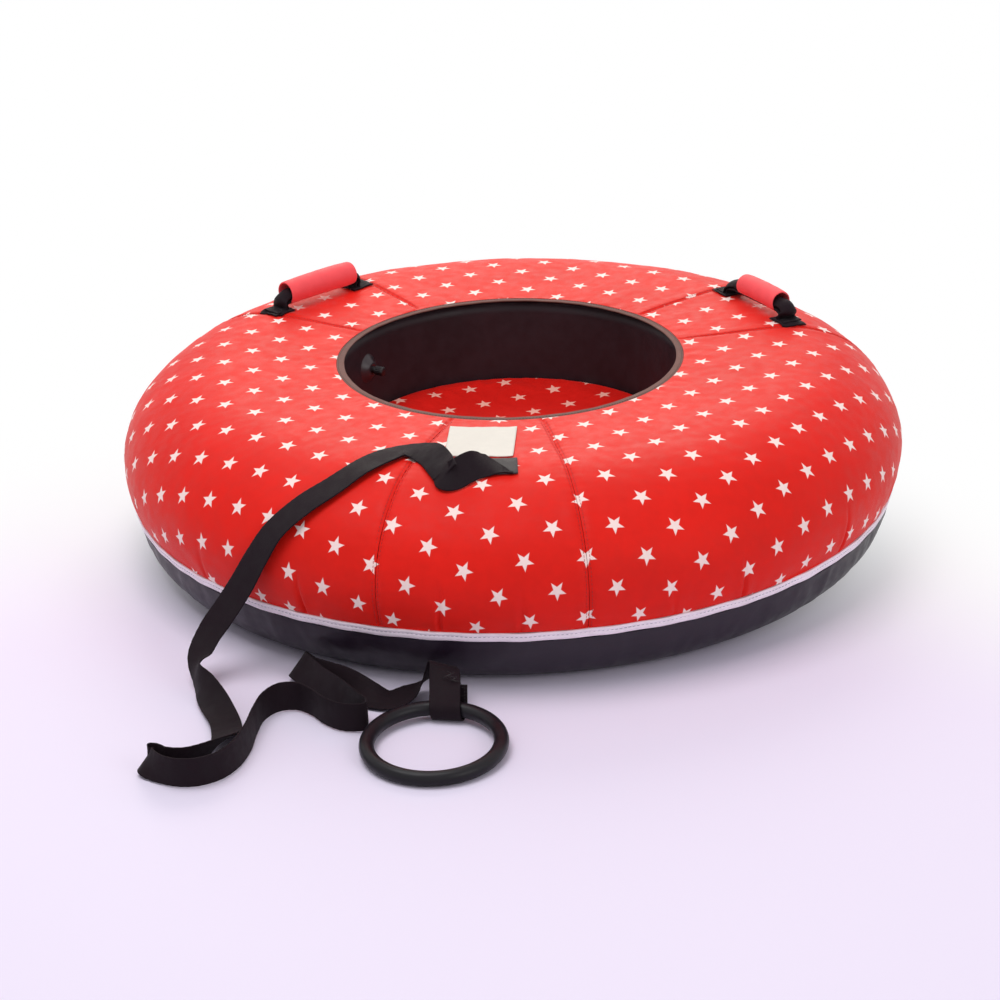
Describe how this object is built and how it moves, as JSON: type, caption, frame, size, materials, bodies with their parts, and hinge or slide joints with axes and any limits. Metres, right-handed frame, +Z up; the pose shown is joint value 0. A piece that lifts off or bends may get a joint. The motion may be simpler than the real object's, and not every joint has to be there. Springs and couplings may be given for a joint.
{
  "type": "snow tube",
  "caption": "Inflatable snow tube: rubber ring in a red star-print cover with a raised seat, charcoal sliding base, side handles and a long webbing tow strap with a rubber ring.",
  "frame": {"origin": "Centre of the flat base, where the tube rests on the snow.", "axes": "+Z is up, -Y is the front, the side the tow strap leaves from, and +X is to the right seen from the front."},
  "size_m": [0.9996, 1.1968, 0.2707],
  "materials": {
    "cover_fabric": "satin coated polyester with a star print",
    "base_sheet": "smooth charcoal coated sheet",
    "piping_fabric": "pale folded piping",
    "binding_tape": "dark brown woven tape",
    "butyl_rubber": "dark brown-black rubber",
    "valve_rubber": "black moulded rubber",
    "valve_brass": "turned brass",
    "seat_foam": "light grey foam",
    "sleeve_foam": "smooth red foam grip",
    "webbing": "black woven webbing",
    "label_tape": "bare white woven label",
    "ring_rubber": "black moulded rubber"
  },
  "bodies": {
    "cover": {"inner_tube": "butyl_rubber", "valve_patch": "butyl_rubber", "valve_stem": "valve_rubber", "valve_core": "valve_brass", "panel_front": "cover_fabric", "panel_front_right": "cover_fabric", "panel_right_handle": "cover_fabric", "panel_back": "cover_fabric", "panel_left_handle": "cover_fabric", "panel_front_left": "cover_fabric", "seat_panel": "cover_fabric", "opening_binding": "binding_tape", "bottom_cover": "base_sheet", "edge_piping": "piping_fabric", "seat_foam": "seat_foam", "care_label": "label_tape", "tow_anchor_patch": "webbing", "tow_strap": "webbing", "left_front_foot_patch": "webbing", "left_rear_foot_patch": "webbing", "right_front_foot_patch": "webbing", "right_rear_foot_patch": "webbing"},
    "left_handle": {"left_handle_strap": "webbing"},
    "left_grip": {"left_handle_sleeve": "sleeve_foam"},
    "right_handle": {"right_handle_strap": "webbing"},
    "right_grip": {"right_handle_sleeve": "sleeve_foam"},
    "ring": {"tow_ring": "ring_rubber"},
    "cap": {"valve_cap": "valve_rubber"}
  },
  "joints": [
    {"name": "left_handle_swing", "type": "hinge", "parent": "cover", "child": "left_handle", "pos_m": [-0.25942, 0.23688, 0.2354], "axis": [-0.7254, -0.6884, 0], "range_deg": [-30, 30], "deforming": ["left_handle_strap"]},
    {"name": "left_grip_spin", "type": "hinge", "parent": "left_handle", "child": "left_grip", "pos_m": [-0.25724, 0.23895, 0.2542], "axis": [-0.7254, -0.6884, 0], "continuous": true},
    {"name": "right_handle_swing", "type": "hinge", "parent": "cover", "child": "right_handle", "pos_m": [0.33427, 0.14882, 0.2354], "axis": [-0.4555, 0.8902, 0], "range_deg": [-30, 30], "deforming": ["right_handle_strap"]},
    {"name": "right_grip_spin", "type": "hinge", "parent": "right_handle", "child": "right_grip", "pos_m": [0.337, 0.14348, 0.2542], "axis": [-0.4555, 0.8902, 0], "continuous": true},
    {"name": "ring_swing", "type": "hinge", "parent": "cover", "child": "ring", "pos_m": [-0.08619, -0.54238, 0.0142], "axis": [-0.9848, 0.1736, 0], "range_deg": [0, 100]},
    {"name": "valve_cap_turn", "type": "hinge", "parent": "cover", "child": "cap", "pos_m": [-0.16844, 0.09725, 0.176], "axis": [0.866, -0.5, 0], "continuous": true}
  ]
}
